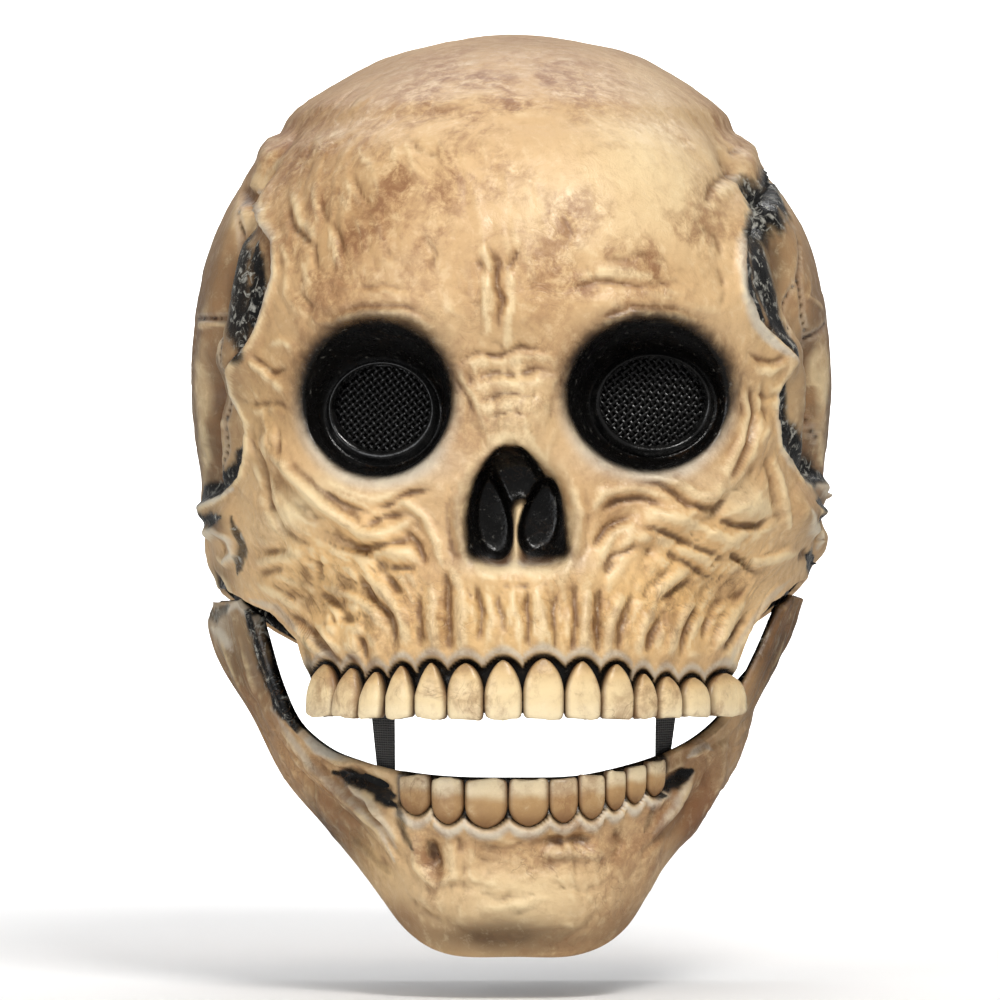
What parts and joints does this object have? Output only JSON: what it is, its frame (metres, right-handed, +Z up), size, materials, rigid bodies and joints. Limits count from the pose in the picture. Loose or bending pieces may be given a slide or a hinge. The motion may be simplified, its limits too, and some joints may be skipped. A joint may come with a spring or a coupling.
{
  "type": "skull mask",
  "caption": "Full-head skull mask of painted latex, hollow, with a separate lower jaw hung on straps and ribbed webs, and dark mesh behind the eye sockets.",
  "frame": {"origin": "under the crown, in the upright line through the middle of the head, at the height where the inside of the crown rests on the wearer's head", "axes": "+Z up, -Y the way the face looks, +X towards the wearer's left"},
  "size_m": [0.204, 0.2475, 0.2889],
  "materials": {
    "skull_latex": "satin, hand painted as old bone",
    "jaw_latex": "satin, hand painted as old bone",
    "black_mesh": "stiff woven mesh, slightly glossy",
    "black_elastic": "matt woven elastic",
    "black_latex": "glossy"
  },
  "bodies": {
    "root": {"skull": "skull_latex", "jaw": "jaw_latex", "eye_mesh_left": "black_mesh", "eye_mesh_right": "black_mesh", "jaw_strap_left": "black_elastic", "jaw_strap_right": "black_elastic", "jaw_web_left": "black_latex", "jaw_web_right": "black_latex"}
  },
  "joints": []
}
